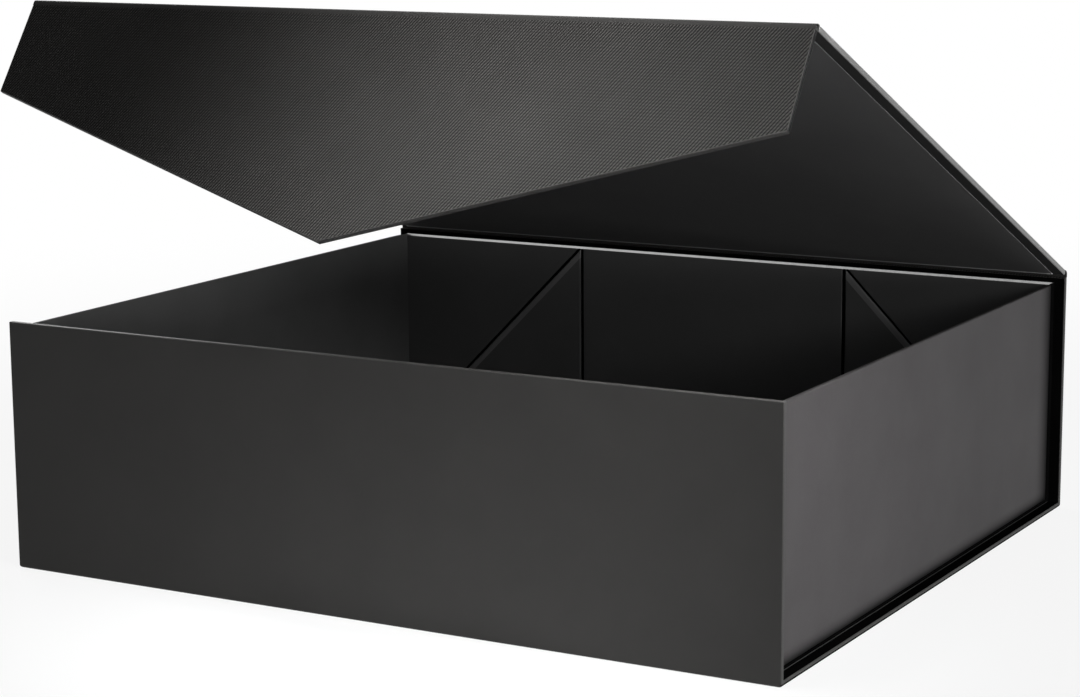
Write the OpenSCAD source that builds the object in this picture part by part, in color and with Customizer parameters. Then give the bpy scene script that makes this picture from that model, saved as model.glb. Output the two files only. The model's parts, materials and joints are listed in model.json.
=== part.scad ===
// Magnetic gift box: a wrapped board cover that folds around a tray with folding corners.
// X runs along the front, Y to the back and Z up. The origin is the centre of the base's underside.

/* [Box] */
// Width of the cover's panels, along the front
box_w = 414; // [320:1:500]
// Depth of the closed box, from the front panel to the spine
box_d = 360; // [300:1:440]
// Height of the front panel above the table
front_h = 124; // [110:1:160]
// Distance from each end of the cover in to the side wall
wall_inset = 4; // [1:0.5:8]
// Distance from the front panel's top down to the tray's top
tray_drop = 2.2; // [0.5:0.1:6]

/* [Boards] */
// Thickness of a cover panel with its paper
cover_t = 2.8; // [2.2:0.1:4]
// Thickness of a tray board with its paper
tray_t = 2.2; // [1.6:0.1:3]
// Thickness of the lining sheets
lining_t = 0.4; // [0.2:0.1:1]
// Thickness of the wrapping paper where it bridges a crease
paper_t = 0.4; // [0.2:0.1:0.6]
// Radius of the cover's wrapped corners along the base
cover_corner_r = 1.6; // [0.5:0.1:2.2]
// Radius of the side walls' folded edges
wall_fold_r = 1.4; // [0.5:0.1:1.5]
// Width of the grooves between the tray's inner boards
groove_w = 1; // [0.4:0.1:2]

/* [Lid and flap] */
// Angle of the lid above its closed place
lid_open = 24.6; // [0:0.1:60]
// Angle of the flap out from square with the lid
flap_open = 9.6; // [0:0.1:60]
// Length of the flap's two short sides, from its crease
flap_side_h = 51; // [20:1:70]
// Length of the flap at its point, from its crease
flap_point_h = 117; // [100:1:122]
// Clearance between the closed cover and the tray
close_gap = 0.3; // [0.2:0.1:1]
// Clearance between two panels beside a crease
crease_gap = 0.2; // [0.2:0.1:1]
// Width of the turned-in paper around the linings
lining_border = 6.3; // [3:0.1:12]
// Distance of the linings' ends from the panels' ends beside a crease
lining_setback = 1; // [1:0.1:6]

/* [Magnets and tape] */
// Diameter of the magnet discs
magnet_d = 15; // [8:1:20]
// Thickness of the magnet discs
magnet_t = 1.8; // [1:0.1:2]
// Distance of each magnet's centre from the end of the box
magnet_side = 107; // [60:1:140]
// Distance of the magnets from the flap's crease
magnet_drop = 62; // [50:1:70]
// Length of the tape strips behind the outer gussets
tape_l = 70; // [30:1:76]
// Width of the tape strips
tape_w = 15; // [8:1:20]
// Thickness of the tape strips
tape_t = 0.3; // [0.1:0.1:0.5]
// Distance of each tape strip from the gusset's top and outer edges
tape_inset = 8; // [4:1:12]

/* [Hidden] */
$fn = 48;

// Colours of the paper, the boards' inside, the magnets and the tape
PAPER_BLACK = "#232221";
LINING_BLACK = "#1c1c1c";
MAGNET_GREY = "#a9abae";
TAPE_AMBER = "#d8c9a0";

// Planes of the tray
half_w = box_w / 2;
half_d = box_d / 2;
wall_out = half_w - wall_inset;
wall_in = wall_out - tray_t;
board_back = half_d - cover_t;
board_face = board_back - tray_t;
tray_top = front_h - tray_drop;
wall_foot = cover_t + lining_t;

// The gussets fold on a line at 45 degrees, from the inner bottom corner up to the fold at fold_x
corner_sum = wall_in + cover_t;
fold_x = corner_sum - tray_top;
groove_half = groove_w / 2;
groove_step = groove_w / sqrt(2);

// Crease lines of the lid and the flap, on the outer face of the wrapping paper
panel_clear = cover_t + crease_gap;
stand_off = close_gap + lining_t + cover_t;
lid_axis_z = front_h + stand_off;
lid_l = box_d + stand_off;
lining_clear = panel_clear + lining_setback;
paper_end = paper_t + crease_gap / 4;

// Place of the right front magnet, where the closed flap's magnet meets it
magnet_x = half_w - magnet_side;
magnet_z = lid_axis_z - magnet_drop;

// Points of a quarter circle about (x, y), from one angle to the next
function corner_arc(x, y, r, from, to) =
    [for (i = [0:8]) [x + r * cos(from + (to - from) * i / 8), y + r * sin(from + (to - from) * i / 8)]];

// Extrudes an outline drawn in depth and height along the full width w
module along_width(w) {
    rotate([90, 0, 90]) translate([0, 0, -w / 2]) linear_extrude(height = w) children();
}

// Extrudes an outline drawn in width and height by t, towards the back from the plane y = 0
module upright(t) {
    translate([0, t, 0]) rotate([90, 0, 0]) linear_extrude(height = t) children();
}

// Mirrors its child to the left side where asked
module on_side(left) {
    if (left) mirror([1, 0, 0]) children();
    else children();
}

// Mirrors its child to the front end where asked
module at_end(front) {
    if (front) mirror([0, 1, 0]) children();
    else children();
}

// Base panel with mitred long edges and rounded wrapped corners
module base_panel() {
    r = cover_corner_r;
    color(PAPER_BLACK) along_width(box_w) polygon(concat(
        [[-half_d + cover_t, cover_t]],
        corner_arc(-half_d + r, r, r, 225, 270),
        corner_arc(half_d - r, r, r, 270, 315),
        [[half_d - cover_t, cover_t]]));
}

// Outline of a standing cover panel at the back, with the mitre at its foot
module standing_outline(top_h) {
    r = cover_corner_r;
    polygon(concat(
        [[half_d - cover_t, cover_t]],
        corner_arc(half_d - r, r, r, 315, 360),
        [[half_d, top_h], [half_d - cover_t, top_h]]));
}

// A disc standing in a board, its flat faces along the depth
module standing_disc(x, z) {
    translate([x, magnet_t, z]) rotate([90, 0, 0]) cylinder(d = magnet_d, h = magnet_t);
}

// Front panel, with blind seats for its two magnets in the inner face
module front_panel() {
    color(PAPER_BLACK) difference() {
        mirror([0, 1, 0]) along_width(box_w) standing_outline(front_h);
        for (left = [false, true]) on_side(left) front_magnet_place();
    }
}

// Place of the right front magnet
module front_magnet_place() {
    translate([0, -board_back - magnet_t, 0]) standing_disc(magnet_x, magnet_z);
}

// Spine panel, with its paper running on to the lid's crease
module spine_panel() {
    color(PAPER_BLACK) along_width(box_w) {
        standing_outline(lid_axis_z - panel_clear);
        translate([half_d - paper_t, lid_axis_z - panel_clear]) square([paper_t, panel_clear - paper_end]);
    }
}

// Sheet on the floor of the tray, on which the side walls are hinged
module floor_liner() {
    edge = wall_out - wall_fold_r;
    color(LINING_BLACK) translate([-edge, -board_face, cover_t]) cube([2 * edge, 2 * board_face, lining_t]);
}

// Side wall with a folded foot
module side_wall() {
    r = wall_fold_r;
    color(PAPER_BLACK) rotate([90, 0, 0]) translate([0, 0, -board_face])
        linear_extrude(height = 2 * board_face) polygon(concat(
            [[wall_in, wall_foot]],
            corner_arc(wall_out - r, wall_foot + r, r, 270, 360),
            [[wall_out, tray_top], [wall_in, tray_top]]));
}
module left_wall() { on_side(true) side_wall(); }
module right_wall() { on_side(false) side_wall(); }

// Board in the middle of the front and the back wall
module centre_board() {
    edge = fold_x - groove_half;
    color(LINING_BLACK) translate([-edge, board_face, cover_t])
        cube([2 * edge, tray_t, tray_top - cover_t]);
}
module front_centre_board() { at_end(true) centre_board(); }
module back_centre_board() { at_end(false) centre_board(); }

// Lower triangle of a folding corner, glued to the cover
module inner_gusset() {
    low = corner_sum - groove_step;
    edge = fold_x + groove_half;
    color(LINING_BLACK) translate([0, board_face, 0]) upright(tray_t)
        polygon([[edge, cover_t], [low - cover_t, cover_t], [edge, low - edge]]);
}

// Upper triangle of a folding corner, wrapped around into the side wall's folded edge
module outer_gusset() {
    high = corner_sum + groove_step;
    r = wall_fold_r;
    color(LINING_BLACK) difference() {
        union() {
            translate([0, board_face, 0]) upright(tray_t)
                polygon([[high - tray_top, tray_top], [wall_in, high - wall_in], [wall_in, tray_top]]);
            translate([0, 0, wall_foot]) linear_extrude(height = tray_top - wall_foot) polygon(concat(
                [[wall_in, board_face], [wall_out, board_face]],
                corner_arc(wall_out - r, board_back - r, r, 0, 90),
                [[wall_in, board_back]]));
        }
        tape_place();
    }
}

// Place of the right back tape strip, let into the outer gusset's back
module tape_place() {
    translate([wall_in - tape_inset - tape_l, board_back - tape_t, tray_top - tape_inset - tape_w])
        cube([tape_l, tape_t, tape_w]);
}
module tape() { color(TAPE_AMBER) tape_place(); }

module front_left_inner_gusset() { at_end(true) on_side(true) inner_gusset(); }
module front_left_outer_gusset() { at_end(true) on_side(true) outer_gusset(); }
module front_right_inner_gusset() { at_end(true) on_side(false) inner_gusset(); }
module front_right_outer_gusset() { at_end(true) on_side(false) outer_gusset(); }
module back_left_inner_gusset() { at_end(false) on_side(true) inner_gusset(); }
module back_left_outer_gusset() { at_end(false) on_side(true) outer_gusset(); }
module back_right_inner_gusset() { at_end(false) on_side(false) inner_gusset(); }
module back_right_outer_gusset() { at_end(false) on_side(false) outer_gusset(); }
module front_left_tape() { at_end(true) on_side(true) tape(); }
module front_right_tape() { at_end(true) on_side(false) tape(); }
module back_left_tape() { at_end(false) on_side(true) tape(); }
module back_right_tape() { at_end(false) on_side(false) tape(); }

module front_left_magnet() { color(MAGNET_GREY) on_side(true) front_magnet_place(); }
module front_right_magnet() { color(MAGNET_GREY) on_side(false) front_magnet_place(); }

// Puts a child drawn about the lid's crease, with the lid closed, where the open lid is
module on_lid() {
    translate([0, half_d, lid_axis_z]) rotate([-lid_open, 0, 0]) children();
}

// Puts a child drawn about the flap's crease, with the flap square to the lid, where the flap is
module on_flap() {
    on_lid() translate([0, -lid_l, 0]) rotate([-flap_open, 0, 0]) children();
}

// Lid panel, with its paper running on to both creases
module lid_panel() {
    color(PAPER_BLACK) on_lid() along_width(box_w) {
        translate([panel_clear - lid_l, -cover_t]) square([lid_l - 2 * panel_clear, cover_t]);
        translate([paper_end - lid_l, -paper_t]) square([lid_l - 2 * paper_end, paper_t]);
    }
}

// Lining of the lid, with the turned-in paper bare along its two sides
module lid_lining() {
    color(LINING_BLACK) on_lid()
        translate([lining_border - half_w, lining_clear - lid_l, -cover_t - lining_t])
            cube([box_w - 2 * lining_border, lid_l - 2 * lining_clear, lining_t]);
}

// Outline of the flap, from top_h below its crease, with its edges brought in by border
module flap_outline(top_h, border) {
    side = half_w - border;
    slope = (flap_point_h - flap_side_h) / half_w;
    drop = border * sqrt(1 + slope * slope);
    polygon([[-side, -top_h], [side, -top_h], [side, drop - border * slope - flap_side_h],
        [0, drop - flap_point_h], [-side, drop - border * slope - flap_side_h]]);
}

// Flap panel with a pointed edge, blind seats for its magnets, and its paper on to the crease
module flap_panel() {
    color(PAPER_BLACK) on_flap() difference() {
        union() {
            upright(cover_t) flap_outline(panel_clear, 0);
            translate([-half_w, 0, -panel_clear]) cube([box_w, paper_t, panel_clear - paper_end]);
        }
        for (left = [false, true]) on_side(left) flap_magnet_place();
    }
}

// Place of the right flap magnet, drawn about the flap's crease
module flap_magnet_place() {
    translate([0, cover_t - magnet_t, 0]) standing_disc(magnet_x, -magnet_drop);
}

// Lining of the flap, inside its turned-in border
module flap_lining() {
    color(LINING_BLACK) on_flap() translate([0, cover_t, 0]) upright(lining_t)
        flap_outline(lining_clear, lining_border);
}
module flap_left_magnet() { color(MAGNET_GREY) on_flap() on_side(true) flap_magnet_place(); }
module flap_right_magnet() { color(MAGNET_GREY) on_flap() on_side(false) flap_magnet_place(); }

base_panel();
front_panel();
spine_panel();
floor_liner();
left_wall();
right_wall();
front_centre_board();
back_centre_board();
front_left_inner_gusset();
front_left_outer_gusset();
front_right_inner_gusset();
front_right_outer_gusset();
back_left_inner_gusset();
back_left_outer_gusset();
back_right_inner_gusset();
back_right_outer_gusset();
front_left_tape();
front_right_tape();
back_left_tape();
back_right_tape();
front_left_magnet();
front_right_magnet();
lid_panel();
lid_lining();
flap_panel();
flap_lining();
flap_left_magnet();
flap_right_magnet();
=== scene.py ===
"""A folding gift box in black paper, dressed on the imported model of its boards.

The cover is one sheet of embossed paper wrapped around five boards: front, base, spine, lid and flap.
The tray inside is lined boards with folding corners. Lengths are in metres and angles in radians.
"""
import json
import math

import bmesh
import bpy
from mathutils import Matrix, Vector


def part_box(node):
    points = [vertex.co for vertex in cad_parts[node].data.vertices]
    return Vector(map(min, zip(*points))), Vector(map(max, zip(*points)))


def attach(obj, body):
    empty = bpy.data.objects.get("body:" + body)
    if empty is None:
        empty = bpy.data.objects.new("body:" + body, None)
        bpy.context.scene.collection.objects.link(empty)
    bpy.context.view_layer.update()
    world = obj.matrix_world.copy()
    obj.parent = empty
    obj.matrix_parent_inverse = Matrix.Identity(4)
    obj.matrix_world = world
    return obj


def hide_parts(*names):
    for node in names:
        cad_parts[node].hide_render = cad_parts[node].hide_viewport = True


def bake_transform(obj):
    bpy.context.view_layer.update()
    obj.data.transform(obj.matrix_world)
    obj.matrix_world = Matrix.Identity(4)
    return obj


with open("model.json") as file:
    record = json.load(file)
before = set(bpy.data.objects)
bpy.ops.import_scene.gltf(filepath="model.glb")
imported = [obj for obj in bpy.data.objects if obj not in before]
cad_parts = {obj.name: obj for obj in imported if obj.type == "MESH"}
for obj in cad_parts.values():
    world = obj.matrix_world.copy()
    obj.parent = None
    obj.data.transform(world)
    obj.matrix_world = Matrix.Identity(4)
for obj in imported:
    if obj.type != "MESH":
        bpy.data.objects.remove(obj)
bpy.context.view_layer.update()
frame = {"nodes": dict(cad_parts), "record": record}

MM = 0.001

# Planes of the cover and the tray, read from the frame
HALF_W, HALF_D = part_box("spine_panel")[1].xy
FRONT_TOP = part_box("front_panel")[1].z
COVER_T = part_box("base_panel")[1].z
WALL_LOW, WALL_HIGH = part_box("right_wall")
WALL_IN, WALL_OUT = WALL_LOW.x, WALL_HIGH.x
WALL_FOOT, TRAY_TOP = WALL_LOW.z, WALL_HIGH.z
CENTRE_LOW, CENTRE_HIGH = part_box("back_centre_board")
BOARD_FACE, BOARD_BACK = CENTRE_LOW.y, CENTRE_HIGH.y
INNER_LOW, INNER_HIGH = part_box("back_right_inner_gusset")
OUTER_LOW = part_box("back_right_outer_gusset")[0]
LINER_LOW, LINER_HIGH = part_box("floor_liner")
LINING_T = LINER_HIGH.z - LINER_LOW.z

# Crease lines of the lid and the flap, and their angles from closed
JOINTS = {joint["name"]: joint for joint in frame["record"]["behaviour"]["joints"]}
LID_AXIS = Vector(JOINTS["lid_hinge"]["pos_m"])
FLAP_AXIS = Vector(JOINTS["flap_hinge"]["pos_m"])
LID_OPEN = -math.radians(JOINTS["lid_hinge"]["range_deg"][0])
FLAP_OPEN = -math.radians(JOINTS["flap_hinge"]["range_deg"][0])
LID_LENGTH = (FLAP_AXIS - LID_AXIS).length
PANEL_CLEAR = 3 * MM
LINING_CLEAR = 4 * MM
LINING_BORDER = HALF_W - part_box("lid_lining")[1].x
FLAP_SIDE = 51 * MM
FLAP_POINT = 117 * MM

# A shape drawn closed about the lid's or the flap's own crease is turned into its open place
LID_TURN = Matrix.Translation(LID_AXIS) @ Matrix.Rotation(-LID_OPEN, 4, "X")
FLAP_TURN = LID_TURN @ Matrix.Translation((0, -LID_LENGTH, 0)) @ Matrix.Rotation(-FLAP_OPEN, 4, "X")

# How the paper folds
FOLD_ROUND = 1.6 * MM
EDGE_ROUND = 0.45 * MM
FOOT_ROUND = 1.5 * MM
FOOT_STEPS = 5
FOOT_SPACING = 1.5
LINING_ROUND = 0.12 * MM
# Width of the painted highlight line on the lid lining
LINING_RIM = 1.5 * MM
# Height of the near-black painted shade at the foot of the cover's ends
FOOT_SHADE = 1.5 * MM
GROOVE_ROUND = 0.6 * MM
GROOVE_SPARE = 0.4 * MM
GUSSET_ROUND = 1.0 * MM
FOLD_HIGHLIGHT_BAND = 3.4 * MM
EDGING_T = 0.2 * MM
EDGING_PROUD = 0.25 * MM
EDGING_TOP_PROUD = 0.08 * MM
EDGING_DROP = 1.1 * MM
WALL_TOP_ROUND = 0.7 * MM
FOOT_BAND = 1.6 * MM
FOOT_REACH = 5 * MM
BACK_BAND = 4.5 * MM
BACK_REACH = 12 * MM
# How far the painted shade at a side wall's foot and back end reaches
FOOT_PAINTED_SHADE = 8.5 * MM
BACK_PAINTED_SHADE = 22 * MM
TURNED_SLOPE = 0.45
SOFT_SINK = 1.9 * MM
SOFT_STEPS = 10
SOFT_SPACING = 2
SOFT_POWER = 2.4
CREASE_ROUND = 1.5 * MM
CREASE_PAPER = 0.35 * MM
EDGE_STEPS = 3
FOLD_STEPS = 6
SHARP_ANGLE = math.radians(50)

# How far a face's normal points one way, for each paper
FLAT_FACING = 0.995
END_FACING = 0.9
SIDE_FACING = 0.5
GROOVE_FACING = 0.25

# Lengths closer than this are the same
CLOSE = 0.01 * MM


# Materials

def new_material(name):
    """An empty node material with its shader and output."""
    material = bpy.data.materials.new(name)
    material.use_nodes = True
    nodes = material.node_tree.nodes
    nodes.clear()
    output = nodes.new("ShaderNodeOutputMaterial")
    shader = nodes.new("ShaderNodeBsdfPrincipled")
    material.node_tree.links.new(shader.outputs["BSDF"], output.inputs["Surface"])
    return material, shader


def add_node(owner, kind, inputs=None, **settings):
    """A new node in a material or the world, with its settings and the links or values of its sockets."""
    node = owner.node_tree.nodes.new(kind)
    for key, value in settings.items():
        setattr(node, key, value)
    for socket, value in (inputs or {}).items():
        if isinstance(value, bpy.types.NodeSocket):
            owner.node_tree.links.new(value, node.inputs[socket])
        else:
            node.inputs[socket].default_value = value
    return node


def calculate(owner, operation, *values):
    """The output of a Math node on links or numbers."""
    inputs = dict(enumerate(values))
    return add_node(owner, "ShaderNodeMath", inputs, operation=operation).outputs[0]


def wave(material, phase):
    """A smooth ridge from 0 to 1 that repeats with each whole step of the phase."""
    turned = calculate(material, "COSINE", calculate(material, "MULTIPLY", phase, 2 * math.pi))
    return calculate(material, "MULTIPLY_ADD", turned, 0.5, 0.5)


CLOUD_SCALE = 24.0
CLOUD_LOW, CLOUD_HIGH = 0.3, 0.7
FIBRE_SPREAD = 0.05
FIBRE_STRENGTH = 0.5


def paper(name, dark, light, roughness, specular, grain, emboss=None, painted_shade=None):
    """Dyed paper: uneven density, a fibre grain, maybe an emboss with painted shade in its valleys and
    painted highlight on its ridges, and maybe painted shade towards its edges.
    """
    material, shader = new_material(name)
    link = material.node_tree.links.new
    place = add_node(material, "ShaderNodeTexCoord").outputs["Object"]
    cloud = add_node(material, "ShaderNodeTexNoise",
                     {"Vector": place, "Scale": CLOUD_SCALE, "Detail": 5.0, "Roughness": 0.6})
    density = add_node(material, "ShaderNodeMapRange",
                       {"Value": cloud.outputs["Fac"], "From Min": CLOUD_LOW, "From Max": CLOUD_HIGH})
    colour = add_node(material, "ShaderNodeMix",
                      {"Factor": density.outputs["Result"], "A": (*dark, 1.0), "B": (*light, 1.0)},
                      data_type="RGBA")
    tint = colour.outputs["Result"]
    grain_scale, grain_depth = grain
    fibre = add_node(material, "ShaderNodeTexNoise",
                     {"Vector": place, "Scale": grain_scale, "Detail": 4.0, "Roughness": 0.65})
    spread = add_node(material, "ShaderNodeMapRange",
                      {"Value": fibre.outputs["Fac"], "To Min": roughness - FIBRE_SPREAD,
                       "To Max": roughness + FIBRE_SPREAD})
    link(spread.outputs["Result"], shader.inputs["Roughness"])
    shader.inputs["Specular IOR Level"].default_value = specular
    bump = add_node(material, "ShaderNodeBump",
                    {"Height": fibre.outputs["Fac"], "Strength": FIBRE_STRENGTH, "Distance": grain_depth})
    if emboss:
        height = emboss(material, place)
        bump = add_node(material, "ShaderNodeBump",
                        {"Height": height, "Strength": 1.0, "Distance": EMBOSS_DEPTH,
                         "Normal": bump.outputs["Normal"]})
        # Painted shade in the emboss's valleys and painted highlight on its ridges
        shade = add_node(material, "ShaderNodeMapRange",
                         {"Value": height, "To Min": VALLEY_SHADE, "To Max": RIDGE_SHADE})
        tint = add_node(material, "ShaderNodeVectorMath",
                        {0: tint, 1: shade.outputs["Result"]}, operation="MULTIPLY").outputs[0]
    # Painted shade multiplied into the colour
    if painted_shade:
        tint = add_node(material, "ShaderNodeVectorMath",
                        {0: tint, 1: painted_shade(material, place)}, operation="MULTIPLY").outputs[0]
    link(tint, shader.inputs["Base Color"])
    link(bump.outputs["Normal"], shader.inputs["Normal"])
    return material


EMBOSS_PITCH = 1.57 * MM
EMBOSS_ROW = 1.6 * MM
EMBOSS_SLANT = math.radians(58)
EMBOSS_DEPTH = 0.24 * MM
EMBOSS_WOBBLE = 0.5
WOBBLE_SCALE = 90.0
ROW_BREAK = 0.35
# Colour factors for the emboss's painted shade in valleys and painted highlight on ridges
VALLEY_SHADE = 0.35
RIDGE_SHADE = 2.2
# Colour factor at the darkest of the side walls' painted shade
PAINTED_SHADE_LEVEL = 0.06


def twill(turn):
    """An emboss of short slanting ribs on a plane that was turned about X from lying flat."""
    def height(material, place):
        flat = add_node(material, "ShaderNodeMapping", {"Vector": place, "Rotation": (turn, 0, 0)})
        axes = add_node(material, "ShaderNodeSeparateXYZ", {"Vector": flat.outputs["Vector"]})
        across, along = axes.outputs["X"], axes.outputs["Y"]
        drift = add_node(material, "ShaderNodeTexNoise",
                         {"Vector": place, "Scale": WOBBLE_SCALE, "Detail": 2.0})
        slant = calculate(material, "MULTIPLY", along, -1 / (math.tan(EMBOSS_SLANT) * EMBOSS_PITCH))
        slant = calculate(material, "MULTIPLY_ADD", drift.outputs["Fac"], EMBOSS_WOBBLE, slant)
        ribs = wave(material, calculate(material, "MULTIPLY_ADD", across, 1 / EMBOSS_PITCH, slant))
        rows = wave(material, calculate(material, "MULTIPLY", along, 1 / EMBOSS_ROW))
        broken = calculate(material, "MULTIPLY_ADD", rows, ROW_BREAK, 1 - ROW_BREAK)
        return calculate(material, "MULTIPLY", ribs, broken)
    return height


def wall_painted_shade(material, place):
    """Painted shade on a side wall's paper, darker towards its foot and its back end, where it bends in."""
    axes = add_node(material, "ShaderNodeSeparateXYZ", {"Vector": place})
    reaches = (("Z", WALL_FOOT + FOOT_BAND, FOOT_PAINTED_SHADE), ("Y", BOARD_FACE - BACK_BAND, -BACK_PAINTED_SHADE))
    parts = []
    for axis, start, reach in reaches:
        part = add_node(material, "ShaderNodeMapRange",
                        {"Value": axes.outputs[axis], "From Min": start, "From Max": start + reach,
                         "To Min": PAINTED_SHADE_LEVEL, "To Max": 1.0}, interpolation_type="SMOOTHSTEP")
        parts.append(part.outputs["Result"])
    return calculate(material, "MULTIPLY", *parts)


# Darkest and lightest tone of each paper
COVER_DARK, COVER_LIGHT = (0.0245, 0.0239, 0.0232), (0.0284, 0.0277, 0.0269)
SMOOTH_DARK, SMOOTH_LIGHT = (0.0236, 0.0231, 0.0224), (0.0273, 0.0267, 0.0259)
WALL_DARK, WALL_LIGHT = (0.0455, 0.0436, 0.0446), (0.0528, 0.0507, 0.0518)
EDGE_HIGHLIGHT_DARK, EDGE_HIGHLIGHT_LIGHT = (0.07, 0.069, 0.068), (0.09, 0.089, 0.087)
RIM_HIGHLIGHT_DARK, RIM_HIGHLIGHT_LIGHT = (0.036, 0.0353, 0.0346), (0.043, 0.0422, 0.0413)
FLAP_END_SHADE_DARK, FLAP_END_SHADE_LIGHT = (0.014, 0.014, 0.014), (0.018, 0.018, 0.018)
FRONT_EDGE_HIGHLIGHT_DARK, FRONT_EDGE_HIGHLIGHT_LIGHT = (0.045, 0.044, 0.043), (0.055, 0.054, 0.053)
FOLD_HIGHLIGHT_DARK, FOLD_HIGHLIGHT_LIGHT = (0.12, 0.12, 0.12), (0.15, 0.15, 0.15)
# The linings are lighter copies of one black paper, two to three times lighter than the cover, as painted
# light for the dim inside; the side walls' and the lid's copies are lighter still
LINING_DARK, LINING_LIGHT = (0.058, 0.058, 0.058), (0.067, 0.067, 0.067)
SIDE_LINING_DARK, SIDE_LINING_LIGHT = (0.066, 0.066, 0.066), (0.077, 0.077, 0.077)
LID_LINING_DARK, LID_LINING_LIGHT = (0.07, 0.07, 0.07), (0.08, 0.08, 0.08)
LINING_RIM_HIGHLIGHT_DARK, LINING_RIM_HIGHLIGHT_LIGHT = (0.45, 0.45, 0.45), (0.52, 0.52, 0.52)
# Turned-in paper, painted near-black as shade in grooves, recesses and hidden faces
SHADE_BLACK_DARK, SHADE_BLACK_LIGHT = (0.0015, 0.0015, 0.0015), (0.003, 0.003, 0.003)
BORDER_DARK, BORDER_LIGHT = (0.022, 0.022, 0.022), (0.028, 0.028, 0.028)

# Scale and depth of the fibre grain
FINE_GRAIN = (1500.0, 0.02 * MM)
LINING_GRAIN = (1800.0, 0.01 * MM)

SMOOTH = paper("smooth_paper", SMOOTH_DARK, SMOOTH_LIGHT, roughness=0.55, specular=0.15, grain=FINE_GRAIN)
# The side walls' paper carries painted shade at its foot and back end
WALL_PAPER = paper("wall_painted_shade_paper", WALL_DARK, WALL_LIGHT, roughness=0.55, specular=0.02, grain=FINE_GRAIN,
                   painted_shade=wall_painted_shade)
# Paper about three times lighter than the cover, as a painted highlight on the lid's edges, with a real
# satin sheen from its specular
EDGE_HIGHLIGHT_PAPER = paper("painted_highlight_edge_paper", EDGE_HIGHLIGHT_DARK, EDGE_HIGHLIGHT_LIGHT, roughness=0.35, specular=0.5,
                   grain=FINE_GRAIN)
# Paper about twice as light as the cover, as a painted highlight on the front's top edge
FRONT_EDGE_HIGHLIGHT = paper("front_edge_highlight_paper", FRONT_EDGE_HIGHLIGHT_DARK, FRONT_EDGE_HIGHLIGHT_LIGHT, roughness=0.5, specular=0.2,
                   grain=FINE_GRAIN)
CREASE_FINISH = paper("crease_paper", COVER_DARK, COVER_LIGHT, roughness=0.45, specular=0.05,
                      grain=FINE_GRAIN)
# Paper somewhat lighter than the cover, as a painted highlight along the flap's edges
FLAP_RIM_HIGHLIGHT = paper("flap_rim_highlight_paper", RIM_HIGHLIGHT_DARK, RIM_HIGHLIGHT_LIGHT, roughness=0.45, specular=0.1, grain=FINE_GRAIN)
# Paper darker than the cover, as painted shade on the flap's ends where the side lamps fall
FLAP_END_SHADE = paper("flap_end_shade_paper", FLAP_END_SHADE_DARK, FLAP_END_SHADE_LIGHT, roughness=0.6, specular=0.0,
                 grain=FINE_GRAIN)
# Paper much lighter than the lining, as a painted highlight along the lower triangles' diagonals
FOLD_HIGHLIGHT = paper("painted_highlight_fold_paper", FOLD_HIGHLIGHT_DARK, FOLD_HIGHLIGHT_LIGHT, roughness=0.45, specular=0.15,
                    grain=FINE_GRAIN)
FLAP_PAPER = paper("flap_embossed_paper", COVER_DARK, COVER_LIGHT, roughness=0.38, specular=0.004,
                   grain=FINE_GRAIN, emboss=twill(LID_OPEN + FLAP_OPEN - math.pi / 2))
LID_PAPER = paper("lid_embossed_paper", COVER_DARK, COVER_LIGHT, roughness=0.38, specular=0.004,
                  grain=FINE_GRAIN, emboss=twill(LID_OPEN))
SPINE_PAPER = paper("spine_embossed_paper", COVER_DARK, COVER_LIGHT, roughness=0.38, specular=0.004,
                    grain=FINE_GRAIN, emboss=twill(-math.pi / 2))
# Lighter copies of one lining paper, as painted light where the inside is dim
LINING = paper("lining_paper", LINING_DARK, LINING_LIGHT, roughness=0.45, specular=0.15,
               grain=LINING_GRAIN)
SIDE_LINING = paper("side_lining_paper", SIDE_LINING_DARK, SIDE_LINING_LIGHT, roughness=0.45,
                    specular=0.15, grain=LINING_GRAIN)
LID_LINING = paper("lid_lining_paper", LID_LINING_DARK, LID_LINING_LIGHT, roughness=0.45, specular=0.15,
                   grain=LINING_GRAIN)
# Nearly white paper, as a painted highlight line along the lid lining's edge by the crease
LINING_RIM_HIGHLIGHT = paper("lining_rim_highlight_paper", LINING_RIM_HIGHLIGHT_DARK, LINING_RIM_HIGHLIGHT_LIGHT, roughness=0.5,
                         specular=0.1, grain=LINING_GRAIN)
PAINTED_SHADE_BLACK = paper("turned_in_painted_shade_paper", SHADE_BLACK_DARK, SHADE_BLACK_LIGHT, roughness=0.6, specular=0.0,
                  grain=LINING_GRAIN)
BORDER_PAPER = paper("border_paper", BORDER_DARK, BORDER_LIGHT, roughness=0.6, specular=0.02,
                     grain=LINING_GRAIN)

PLATE_SCALE = 400.0
PLATE_SPREAD = 0.08
PLATE_DULLING = 0.94


def plain(name, colour, roughness, metallic):
    """A nearly even finish with a faint change of colour and roughness."""
    material, shader = new_material(name)
    place = add_node(material, "ShaderNodeTexCoord").outputs["Object"]
    noise = add_node(material, "ShaderNodeTexNoise", {"Vector": place, "Scale": PLATE_SCALE, "Detail": 3.0})
    spread = add_node(material, "ShaderNodeMapRange",
                      {"Value": noise.outputs["Fac"], "To Min": roughness - PLATE_SPREAD,
                       "To Max": roughness + PLATE_SPREAD})
    material.node_tree.links.new(spread.outputs["Result"], shader.inputs["Roughness"])
    duller = [PLATE_DULLING * part for part in colour]
    tint = add_node(material, "ShaderNodeMix",
                    {"Factor": noise.outputs["Fac"], "A": (*duller, 1.0), "B": (*colour, 1.0)},
                    data_type="RGBA")
    material.node_tree.links.new(tint.outputs["Result"], shader.inputs["Base Color"])
    shader.inputs["Metallic"].default_value = metallic
    return material


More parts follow.
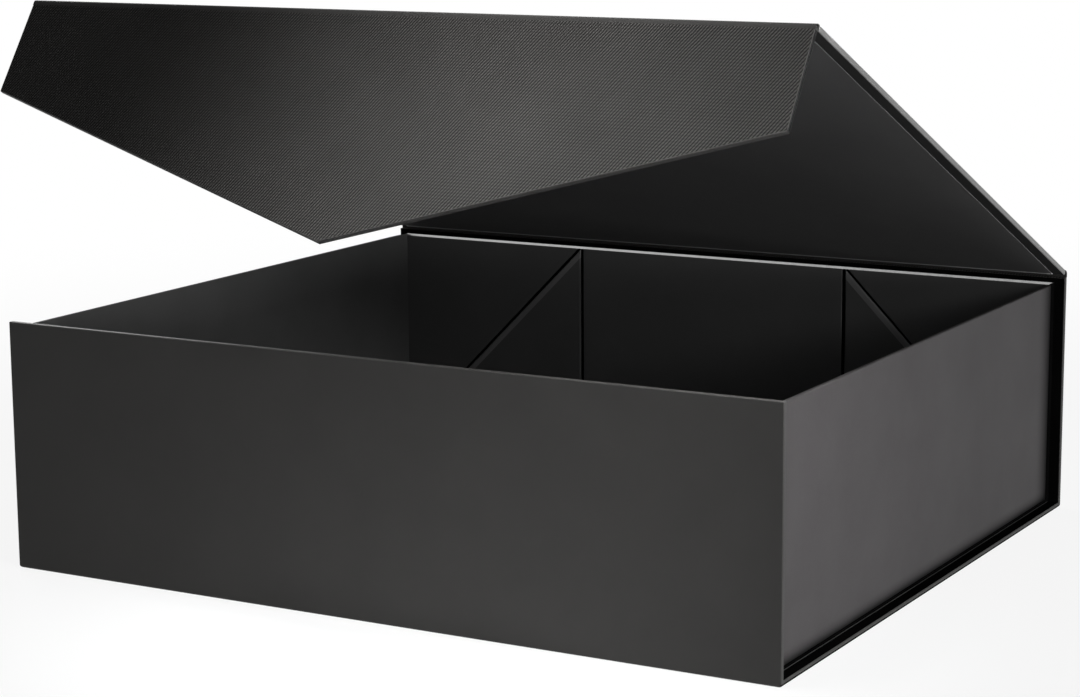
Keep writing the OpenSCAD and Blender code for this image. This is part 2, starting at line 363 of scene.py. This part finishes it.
MAGNET = plain("nickel_plating", (0.62, 0.61, 0.58), roughness=0.25, metallic=1.0)
SILVER_EDGE = plain("silver_edging", (0.5, 0.5, 0.5), roughness=0.22, metallic=1.0)
TAPE = plain("tape_film", (0.75, 0.66, 0.45), roughness=0.45, metallic=0.0)


# Shaping

def prism(points, sweep):
    """A bmesh of the outline's points swept along a vector."""
    bm = bmesh.new()
    face = bm.faces.new([bm.verts.new(point) for point in points])
    swept = bmesh.ops.extrude_face_region(bm, geom=[face])["geom"]
    moved = [item for item in swept if isinstance(item, bmesh.types.BMVert)]
    bmesh.ops.translate(bm, verts=moved, vec=sweep)
    bmesh.ops.recalc_face_normals(bm, faces=bm.faces)
    return bm


def round_edges(bm, chosen, width, steps=EDGE_STEPS):
    """Rounds the edges whose two ends pass the test."""
    edges = [edge for edge in bm.edges if chosen(edge.verts[0].co, edge.verts[1].co)]
    bmesh.ops.bevel(bm, geom=edges, offset=width, offset_type="OFFSET", segments=steps,
                    profile=0.5, affect="EDGES", material=-1, clamp_overlap=True)


def near(value, target):
    """True where two lengths agree."""
    return abs(value - target) < CLOSE


def slice_at(bm, point, normal):
    """A ring of edges where a plane crosses the shape."""
    bmesh.ops.bisect_plane(bm, geom=bm.verts[:] + bm.edges[:] + bm.faces[:], plane_co=point, plane_no=normal)


def sort_papers(bm, outward):
    """Slot 0 for the faces that look outward, 2 for those that look back, and 1 for the edges between."""
    bm.normal_update()
    for face in bm.faces:
        facing = face.normal.dot(outward)
        face.material_index = 0 if facing > FLAT_FACING else 2 if facing < -FLAT_FACING else 1


def finish(bm, name, body, materials, nodes=(), flat=True):
    """Makes a bmesh a shaded piece that rides on its body and stands for its nodes."""
    bmesh.ops.recalc_face_normals(bm, faces=bm.faces)
    mesh = bpy.data.meshes.new(name)
    bm.to_mesh(mesh)
    bm.free()
    mesh.shade_smooth()
    mesh.set_sharp_from_angle(angle=SHARP_ANGLE)
    for material in materials:
        mesh.materials.append(material)
    piece = bpy.data.objects.new(name, mesh)
    bpy.context.scene.collection.objects.link(piece)
    if flat:
        weighted = piece.modifiers.new("flat_faces", "WEIGHTED_NORMAL")
        weighted.keep_sharp = True
    if body:
        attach(piece, body)
    if nodes:
        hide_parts(*nodes)
    return piece


# Cover around the tray

def cover_wrap():
    """The front, base and spine as one folded board, rounded along its folds and wrapped edges."""
    spine_top = LID_AXIS.z - PANEL_CLEAR
    inside = HALF_D - COVER_T
    outline = [(-HALF_D, 0), (HALF_D, 0), (HALF_D, spine_top), (inside, spine_top),
               (inside, COVER_T), (-inside, COVER_T), (-inside, FRONT_TOP), (-HALF_D, FRONT_TOP)]
    bm = prism([(-HALF_W, y, z) for y, z in outline], (2 * HALF_W, 0, 0))

    def is_fold(a, b):
        return near(a.z, 0) and near(b.z, 0) and near(a.y, b.y)

    def is_wrapped(a, b):
        at_end = near(a.x, b.x) and near(abs(a.x), HALF_W)
        front_edge = near(a.z, FRONT_TOP) and near(b.z, FRONT_TOP)
        at_spine_top = near(a.z, spine_top) and near(b.z, spine_top)
        spine_edge = at_spine_top and near(a.y, inside) and near(b.y, inside)
        return at_end or front_edge or spine_edge

    round_edges(bm, is_fold, FOLD_ROUND, FOLD_STEPS)
    round_edges(bm, is_wrapped, EDGE_ROUND)
    for step in range(1, FOOT_STEPS + 1):
        slice_at(bm, (0, 0, FOOT_ROUND * (step / FOOT_STEPS) ** FOOT_SPACING), (0, 0, 1))
    for vert in bm.verts:
        rise = min(1.0, vert.co.z / FOOT_ROUND)
        if abs(vert.co.x) > HALF_W - EDGE_ROUND - CLOSE:
            tuck = FOOT_ROUND * (1 - math.sqrt(1 - (1 - rise) ** 2))
            vert.co.x -= math.copysign(tuck, vert.co.x)
    # Slot 1 is near-black painted shade: the inner faces and the foot of the end faces
    for face in bm.faces:
        middle = face.calc_center_median()
        inner_front = near(middle.y, -inside)
        inner_back = near(middle.y, inside)
        inner_base = near(middle.z, COVER_T)
        at_end = abs(middle.x) > HALF_W - EDGE_ROUND
        # The front's top edge gets a painted highlight
        at_top = middle.y < -inside and middle.z > FRONT_TOP - EDGE_ROUND
        inner = inner_front or inner_back or inner_base or at_end and middle.z < FOOT_SHADE
        face.material_index = 3 if at_top else 1 if inner else 2 if at_end else 0
    return bm


def cut(bm, point, normal):
    """Keeps the side of a plane that its normal points away from, and closes the cut."""
    geometry = bm.verts[:] + bm.edges[:] + bm.faces[:]
    bmesh.ops.bisect_plane(bm, geom=geometry, plane_co=point, plane_no=normal, clear_outer=True)
    open_edges = [edge for edge in bm.edges if edge.is_boundary]
    bmesh.ops.holes_fill(bm, edges=open_edges, sides=0)


def build_cover():
    """Front, base and spine boards, which meet at the mitres of their folds."""
    front_fold, back_fold = (0, -HALF_D, 0), (0, HALF_D, 0)
    front = cover_wrap()
    cut(front, front_fold, (0, 1, -1))
    finish(front, "front_board", "tray", [SMOOTH, PAINTED_SHADE_BLACK, SMOOTH, FRONT_EDGE_HIGHLIGHT], ["front_panel"])
    base = cover_wrap()
    cut(base, front_fold, (0, -1, 1))
    cut(base, back_fold, (0, 1, 1))
    finish(base, "base_board", "tray", [SMOOTH, PAINTED_SHADE_BLACK, SMOOTH], ["base_panel"])
    spine = cover_wrap()
    cut(spine, back_fold, (0, -1, -1))
    finish(spine, "spine_board", "tray", [SPINE_PAPER, PAINTED_SHADE_BLACK, SMOOTH], ["spine_panel"])


# Tray

def mirrored(bm, side, end):
    """Moves a shape built at the right back corner to another corner."""
    bmesh.ops.scale(bm, verts=bm.verts, vec=(side, end, 1))
    return bm


def soft_wall():
    """The right side wall, whose outer face curves in to a sunken band at its foot and its back end."""
    low, high = -BOARD_FACE, BOARD_FACE
    outline = [(WALL_IN, WALL_FOOT), (WALL_OUT, WALL_FOOT), (WALL_OUT, TRAY_TOP), (WALL_IN, TRAY_TOP)]
    bm = prism([(x, low, z) for x, z in outline], (0, high - low, 0))

    def on_top(a, b):
        return near(a.z, TRAY_TOP) and near(b.z, TRAY_TOP) and near(a.x, b.x)

    round_edges(bm, lambda a, b: on_top(a, b) and near(a.x, WALL_IN), EDGE_ROUND)
    round_edges(bm, lambda a, b: on_top(a, b) and near(a.x, WALL_OUT), WALL_TOP_ROUND)
    for step in range(SOFT_STEPS + 1):
        share = (step / SOFT_STEPS) ** SOFT_SPACING
        slice_at(bm, (0, high - BACK_BAND - share * BACK_REACH, 0), (0, 1, 0))
        slice_at(bm, (0, 0, WALL_FOOT + FOOT_BAND + share * FOOT_REACH), (0, 0, 1))
    for vert in bm.verts:
        depth = (vert.co.x - WALL_IN) / (WALL_OUT - WALL_IN)
        back = (high - BACK_BAND - vert.co.y) / BACK_REACH
        foot = (vert.co.z - WALL_FOOT - FOOT_BAND) / FOOT_REACH
        vert.co.x -= depth * SOFT_SINK * max(inward_curve(back), inward_curve(foot))
    return bm


def inward_curve(share):
    """How far a soft end has turned in, from 1 at its edge to 0 where it is flat."""
    flat = min(1.0, max(0.0, share))
    return 1 - math.sqrt(1 - (1 - flat) ** SOFT_POWER)


def build_walls():
    """The two side walls."""
    for name, side in (("left", -1), ("right", 1)):
        bm = soft_wall()
        bm.normal_update()
        # The sunken bands at the foot and the back end get near-black painted shade
        for face in bm.faces:
            middle = face.calc_center_median()
            turned = face.normal.z < -TURNED_SLOPE or face.normal.y > TURNED_SLOPE
            sunken = turned or middle.z < WALL_FOOT + FOOT_BAND or middle.y > BOARD_FACE - BACK_BAND
            face.material_index = 1 if face.normal.x < -SIDE_FACING else 2 if sunken else 0
        mirrored(bm, side, 1)
        finish(bm, name + "_wall_board", "tray", [WALL_PAPER, SIDE_LINING, PAINTED_SHADE_BLACK], [name + "_wall"],
               flat=False)


def paint_groove_shade(bm):
    """Slot 1 for the narrow faces inside the grooves, which show the turned-in paper, painted near-black as
    shade.
    """
    bm.normal_update()
    for face in bm.faces:
        in_groove = abs(face.normal.y) < GROOVE_FACING and face.normal.z < END_FACING
        face.material_index = 1 if in_groove else 0


def outer_gusset(side, end):
    """The upper triangle of a folding corner, with the strip that folds round into the side wall."""
    corner = OUTER_LOW.x + GROOVE_SPARE
    diagonal = corner + TRAY_TOP
    recess = WALL_OUT - SOFT_SINK
    outline = [(corner, TRAY_TOP), (WALL_IN, diagonal - WALL_IN), (WALL_IN, WALL_FOOT),
               (recess, WALL_FOOT), (recess, TRAY_TOP)]
    bm = prism([(x, BOARD_FACE, z) for x, z in outline], (0, BOARD_BACK - BOARD_FACE, 0))

    def on_diagonal(a, b):
        return near(a.x + a.z, diagonal) and near(b.x + b.z, diagonal) and near(a.y, b.y)

    round_edges(bm, lambda a, b: on_diagonal(a, b) and near(a.y, BOARD_FACE), GROOVE_ROUND)
    round_edges(bm, lambda a, b: near(a.z, TRAY_TOP) and near(b.z, TRAY_TOP) and near(a.y, b.y)
                and near(a.y, BOARD_FACE), EDGE_ROUND)
    paint_groove_shade(bm)
    return mirrored(bm, side, end)


def inner_gusset(side, end):
    """The lower triangle of a folding corner, with soft edges and a band of painted highlight along its
    diagonal.
    """
    diagonal = INNER_HIGH.x + COVER_T
    left = INNER_LOW.x + GROOVE_SPARE
    outline = [(left, COVER_T), (INNER_HIGH.x, COVER_T), (left, diagonal - left)]
    bm = prism([(x, BOARD_FACE, z) for x, z in outline], (0, BOARD_BACK - BOARD_FACE, 0))
    round_edges(bm, lambda a, b: near(a.y, BOARD_FACE) and near(b.y, BOARD_FACE)
                and not (near(a.z, COVER_T) and near(b.z, COVER_T)), GUSSET_ROUND, FOLD_STEPS)
    paint_groove_shade(bm)
    band = diagonal - FOLD_HIGHLIGHT_BAND * math.sqrt(2)
    slice_at(bm, (left, 0, band - left), (1, 0, 1))
    for face in bm.faces:
        middle = face.calc_center_median()
        if face.material_index == 0 and middle.x + middle.z > band:
            face.material_index = 2
    return mirrored(bm, side, end)


def centre_board(end):
    """The middle board of the front or the back wall inside."""
    half = CENTRE_HIGH.x - GROOVE_SPARE
    outline = [(-half, COVER_T), (half, COVER_T), (half, TRAY_TOP), (-half, TRAY_TOP)]
    bm = prism([(x, BOARD_FACE, z) for x, z in outline], (0, BOARD_BACK - BOARD_FACE, 0))
    round_edges(bm, lambda a, b: near(a.y, BOARD_FACE) and near(b.y, BOARD_FACE)
                and not (near(a.z, COVER_T) and near(b.z, COVER_T)), GROOVE_ROUND)
    paint_groove_shade(bm)
    return mirrored(bm, 1, end)


def build_tray():
    """Walls, folding corners, middle boards and floor."""
    build_walls()
    for end_name, end in (("front", -1), ("back", 1)):
        finish(centre_board(end), end_name + "_middle_board", "tray", [LINING, PAINTED_SHADE_BLACK],
               [end_name + "_centre_board"])
        for side_name, side in (("left", -1), ("right", 1)):
            corner = end_name + "_" + side_name
            finish(inner_gusset(side, end), corner + "_lower_triangle", "tray",
                   [LINING, PAINTED_SHADE_BLACK, FOLD_HIGHLIGHT], [corner + "_inner_gusset"])
            finish(outer_gusset(side, end), corner + "_upper_triangle", "tray", [LINING, PAINTED_SHADE_BLACK],
                   [corner + "_outer_gusset"])
    low, high = LINER_LOW, LINER_HIGH
    floor = prism([(low.x, low.y, low.z), (high.x, low.y, low.z), (high.x, high.y, low.z),
                   (low.x, high.y, low.z)], (0, 0, LINING_T))
    # The floor sheet's edges get near-black painted shade
    for face in floor.faces:
        face.material_index = 0 if abs(face.normal.z) > SIDE_FACING else 1
    finish(floor, "floor_sheet", "tray", [LINING, PAINTED_SHADE_BLACK], ["floor_liner"])


def build_edging():
    """The thin silvery edging along the top of the back boards, which leans back a little."""
    foot, head = BOARD_FACE - EDGING_PROUD, BOARD_FACE - EDGING_TOP_PROUD
    outline = [(foot, TRAY_TOP - EDGING_DROP), (BOARD_FACE, TRAY_TOP - EDGING_DROP), (BOARD_FACE, TRAY_TOP),
               (BOARD_BACK, TRAY_TOP), (BOARD_BACK, TRAY_TOP + EDGING_T), (head, TRAY_TOP + EDGING_T)]
    bm = prism([(-WALL_IN, y, z) for y, z in outline], (2 * WALL_IN, 0, 0))
    round_edges(bm, lambda a, b: near(a.y, head) and near(b.y, head), EDGING_TOP_PROUD, EDGE_STEPS)
    finish(bm, "back_top_edging", "tray", [SILVER_EDGE])


# Lid and flap

def build_lid():
    """The lid's board and lining."""
    near_end, far_end = -PANEL_CLEAR, PANEL_CLEAR - LID_LENGTH
    outline = [(near_end, 0), (near_end, -COVER_T), (far_end, -COVER_T), (far_end, 0)]
    board = prism([(-HALF_W, y, z) for y, z in outline], (2 * HALF_W, 0, 0))
    round_edges(board, lambda a, b: (near(a.x, b.x) and near(a.z, b.z))
                or (near(a.z, -COVER_T) and near(b.z, -COVER_T)), EDGE_ROUND)
    sort_papers(board, Vector((0, 0, 1)))
    bmesh.ops.transform(board, matrix=LID_TURN, verts=board.verts)
    # The lid's edge faces get a painted highlight
    finish(board, "lid_board", "lid", [LID_PAPER, EDGE_HIGHLIGHT_PAPER, BORDER_PAPER], ["lid_panel"])
    half = HALF_W - LINING_BORDER
    length = LID_LENGTH - 2 * LINING_CLEAR
    lining = prism([(-half, -LINING_CLEAR, -COVER_T), (half, -LINING_CLEAR, -COVER_T),
                    (half, -LINING_CLEAR - length, -COVER_T), (-half, -LINING_CLEAR - length, -COVER_T)],
                   (0, 0, -LINING_T))
    round_edges(lining, lambda a, b: near(a.z, -COVER_T - LINING_T) and near(b.z, -COVER_T - LINING_T),
                LINING_ROUND)
    # A band along the lining's crease edge is painted nearly white as a highlight line
    rim_end = -LINING_CLEAR - LINING_RIM
    slice_at(lining, (0, rim_end, 0), (0, 1, 0))
    for face in lining.faces:
        face.material_index = 1 if face.calc_center_median().y > rim_end else 0
    bmesh.ops.transform(lining, matrix=LID_TURN, verts=lining.verts)
    finish(lining, "lid_lining_sheet", "lid", [LID_LINING, LINING_RIM_HIGHLIGHT], ["lid_lining"])


def flap_outline(top, border):
    """Corners of the flap in width and height, brought in from its free edges by the border."""
    slope = (FLAP_POINT - FLAP_SIDE) / HALF_W
    rise = border * math.hypot(1, slope)
    half = HALF_W - border
    side = FLAP_SIDE - rise + border * slope
    return [(-half, -top), (half, -top), (half, -side), (0, rise - FLAP_POINT), (-half, -side)]


def build_flap():
    """The flap's board and lining."""
    board = prism([(x, 0, z) for x, z in flap_outline(PANEL_CLEAR, 0)], (0, COVER_T, 0))
    round_edges(board, lambda a, b: near(a.y, b.y) and not (
        near(a.y, 0) and near(a.z, -PANEL_CLEAR) and near(b.z, -PANEL_CLEAR)), EDGE_ROUND)
    # Slot 1, the flap's edges, gets a painted highlight
    sort_papers(board, Vector((0, -1, 0)))
    # The flap's end faces get painted shade
    for face in board.faces:
        if abs(face.normal.x) > END_FACING:
            face.material_index = 3
    bmesh.ops.transform(board, matrix=FLAP_TURN, verts=board.verts)
    finish(board, "flap_board", "flap", [FLAP_PAPER, FLAP_RIM_HIGHLIGHT, BORDER_PAPER, FLAP_END_SHADE], ["flap_panel"])
    lining = prism([(x, COVER_T, z) for x, z in flap_outline(LINING_CLEAR, LINING_BORDER)], (0, LINING_T, 0))
    round_edges(lining, lambda a, b: near(a.y, COVER_T + LINING_T) and near(b.y, COVER_T + LINING_T),
                LINING_ROUND)
    bmesh.ops.transform(lining, matrix=FLAP_TURN, verts=lining.verts)
    finish(lining, "flap_lining_sheet", "flap", [LID_LINING], ["flap_lining"])


def build_crease(name, axis, before, after):
    """Wrapping paper that bends around a crease between the boards of two bodies."""
    bm = bmesh.new()
    rows = []
    for reach in (before * PANEL_CLEAR, Vector(), after * PANEL_CLEAR):
        rows.append([bm.verts.new(axis + reach + Vector((x, 0, 0))) for x in (-HALF_W, HALF_W)])
    for first, second in zip(rows, rows[1:]):
        bm.faces.new((first[0], first[1], second[1], second[0]))
    round_edges(bm, lambda a, b: near(a.y, axis.y) and near(b.y, axis.y) and near(a.z, axis.z)
                and near(b.z, axis.z), CREASE_ROUND, FOLD_STEPS)
    bmesh.ops.recalc_face_normals(bm, faces=bm.faces)
    inward = before + after
    if sum(face.normal.dot(inward) for face in bm.faces) > 0:
        bmesh.ops.reverse_faces(bm, faces=bm.faces)
    bmesh.ops.solidify(bm, geom=bm.faces[:], thickness=CREASE_PAPER)
    piece = finish(bm, name, None, [CREASE_FINISH], flat=False)
    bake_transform(piece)


def build_creases():
    """The two bending strips of the cover's paper."""
    lid_way = (FLAP_AXIS - LID_AXIS).normalized()
    flap_way = (FLAP_TURN.to_3x3() @ Vector((0, 0, -1))).normalized()
    build_crease("lid_crease_paper", LID_AXIS, Vector((0, 0, -1)), lid_way)
    build_crease("flap_crease_paper", FLAP_AXIS, -lid_way, flap_way)


# Studio

CAMERA_AZIMUTH = math.radians(29.508)
CAMERA_ELEVATION = math.radians(10.675)
CAMERA_ROLL = math.radians(0.398)
# Place of the box's origin in the camera's view: to the right, down and ahead
ORIGIN_IN_VIEW = Vector((10.2, 96.754, 1408.325)) * MM
PHOTO_WIDTH = 1080
FOCAL_PIXELS = 2727.103
SENSOR_WIDTH = 36.0
CLIP_NEAR, CLIP_FAR = 0.05, 100


def build_camera():
    """The photograph's camera, fitted to the box's corners."""
    ahead = Vector((-math.sin(CAMERA_AZIMUTH) * math.cos(CAMERA_ELEVATION),
                    math.cos(CAMERA_AZIMUTH) * math.cos(CAMERA_ELEVATION),
                    -math.sin(CAMERA_ELEVATION)))
    right = ahead.cross(Vector((0, 0, 1))).normalized()
    down = ahead.cross(right)
    cosine, sine = math.cos(CAMERA_ROLL), math.sin(CAMERA_ROLL)
    rolled_right = cosine * right + sine * down
    rolled_down = cosine * down - sine * right
    data = bpy.data.cameras.new("photo_camera")
    data.sensor_width = SENSOR_WIDTH
    data.lens = FOCAL_PIXELS * SENSOR_WIDTH / PHOTO_WIDTH
    data.clip_start = CLIP_NEAR
    data.clip_end = CLIP_FAR
    camera = bpy.data.objects.new("photo_camera", data)
    bpy.context.scene.collection.objects.link(camera)
    axes = Matrix((rolled_right, -rolled_down, -ahead)).transposed()
    place = -(axes @ Vector((ORIGIN_IN_VIEW.x, -ORIGIN_IN_VIEW.y, -ORIGIN_IN_VIEW.z)))
    camera.matrix_world = Matrix.Translation(place) @ axes.to_4x4()
    bpy.context.scene.camera = camera


WIDE = math.radians(180)
BROAD = math.radians(30)
NARROW = math.radians(24)


def build_lamp(name, place, target, size, power, spread):
    """A square soft lamp that looks at a point and spreads its light over an angle."""
    data = bpy.data.lights.new(name, "AREA")
    data.shape = "SQUARE"
    data.size = size
    data.energy = power
    data.spread = spread
    lamp = bpy.data.objects.new(name, data)
    lamp.location = place
    lamp.rotation_euler = (Vector(target) - Vector(place)).to_track_quat("-Z", "Y").to_euler()
    bpy.context.scene.collection.objects.link(lamp)


AMBIENT_LEVEL = 0.03
WHITE = (1, 1, 1, 1)
FLOOR_GREY = (0.7, 0.7, 0.7, 1)
FLOOR_REACH = 12
FLOOR_DROP = 0.2 * MM
# The floor glows white to the camera, and a little less near the box, where its shadow lies
NEAR_GLOW = 0.88
SHADOW_START = 0.35
SHADOW_END = 1.2


def seen_rays(owner):
    """1 for camera, glossy and transmission rays, else 0."""
    rays = add_node(owner, "ShaderNodeLightPath").outputs
    reflected = calculate(owner, "MAXIMUM", rays["Is Camera Ray"], rays["Is Glossy Ray"])
    return calculate(owner, "MAXIMUM", reflected, rays["Is Transmission Ray"])


def build_world():
    """Even grey light for the object, and white for what the camera and reflections see."""
    world = bpy.data.worlds.new("studio")
    world.use_nodes = True
    world.node_tree.nodes.clear()
    ambient = add_node(world, "ShaderNodeBackground", {"Color": WHITE, "Strength": AMBIENT_LEVEL})
    backdrop = add_node(world, "ShaderNodeBackground", {"Color": WHITE, "Strength": 1.0})
    mix = add_node(world, "ShaderNodeMixShader",
                   {0: seen_rays(world), 1: ambient.outputs["Background"],
                    2: backdrop.outputs["Background"]})
    add_node(world, "ShaderNodeOutputWorld", {"Surface": mix.outputs["Shader"]})
    bpy.context.scene.world = world


def floor_finish():
    """A matte pale grey that glows white to the camera and in reflections."""
    material = bpy.data.materials.new("pale_floor")
    material.use_nodes = True
    material.node_tree.nodes.clear()
    place = add_node(material, "ShaderNodeTexCoord").outputs["Object"]
    distance = add_node(material, "ShaderNodeVectorMath", {0: place}, operation="LENGTH").outputs["Value"]
    share = add_node(material, "ShaderNodeMapRange",
                     {"Value": distance, "From Min": SHADOW_START, "From Max": SHADOW_END,
                      "To Min": NEAR_GLOW, "To Max": 1.0}, interpolation_type="SMOOTHSTEP")
    glowing = calculate(material, "MULTIPLY", seen_rays(material), share.outputs["Result"])
    matte = add_node(material, "ShaderNodeBsdfDiffuse", {"Color": FLOOR_GREY})
    glow = add_node(material, "ShaderNodeEmission")
    mix = add_node(material, "ShaderNodeMixShader",
                   {0: glowing, 1: matte.outputs["BSDF"], 2: glow.outputs["Emission"]})
    add_node(material, "ShaderNodeOutputMaterial", {"Surface": mix.outputs["Shader"]})
    return material


def build_floor():
    """A pale floor that looks white and keeps a soft shadow."""
    bm = bmesh.new()
    bmesh.ops.create_grid(bm, x_segments=1, y_segments=1, size=FLOOR_REACH)
    bmesh.ops.translate(bm, verts=bm.verts, vec=(0, 0, -FLOOR_DROP))
    mesh = bpy.data.meshes.new("floor")
    bm.to_mesh(mesh)
    bm.free()
    mesh.materials.append(floor_finish())
    floor = bpy.data.objects.new("floor", mesh)
    bpy.context.scene.collection.objects.link(floor)


# Name, place, target, side, power in watts, and angle of each lamp
LAMPS = (
    ("right_key", (2.3, -0.3, 0.75), (0, 0, 0.1), 0.3, 11.7, WIDE),
    ("right_low_key", (1.3, -0.1, 0.04), (0, 0, 0.15), 0.3, 13.4, WIDE),
    ("right_low_fill", (1.5, -0.7, 0.08), (0, 0, 0.2), 0.4, 4.7, WIDE),
    ("right_front_fill", (1.5, -1.9, 0.5), (0, 0, 0.1), 0.8, 11.7, WIDE),
    ("flap_beam_left", (0.05, -0.26, 1.0), (0.05, -0.225, 0.15), 0.1, 0.304, NARROW),
    ("flap_beam_middle", (0.1, -0.22, 1.0), (0.1, -0.215, 0.15), 0.1, 0.149, BROAD),
    ("flap_beam_right", (0.6, -0.5, 0.7), (0.14, -0.21, 0.17), 0.1, 0.223, BROAD),
    ("flap_beam_corner", (0.5, -0.3, 0.9), (0.12, -0.215, 0.17), 0.1, 0.108, NARROW),
    ("back_fill", (0.2, 1.6, 1.6), (0, 0, 0.1), 1.0, 7, WIDE),
    ("back_left_fill", (-1.8, 0.9, 0.8), (0, 0, 0.1), 1.0, 28, WIDE),
)


def build_studio():
    """Camera, world, floor and lamps."""
    build_camera()
    build_world()
    build_floor()
    for lamp in LAMPS:
        build_lamp(*lamp)
    bpy.context.scene.view_settings.view_transform = "Standard"


def dress_hidden_nodes():
    """Finishes for the magnets and tapes, which stay as the frame has them."""
    for name, node in frame["nodes"].items():
        material = MAGNET if "magnet" in name else TAPE if "tape" in name else LINING
        node.data.materials.clear()
        node.data.materials.append(material)


build_cover()
build_tray()
build_edging()
build_lid()
build_flap()
build_creases()
dress_hidden_nodes()
build_studio()
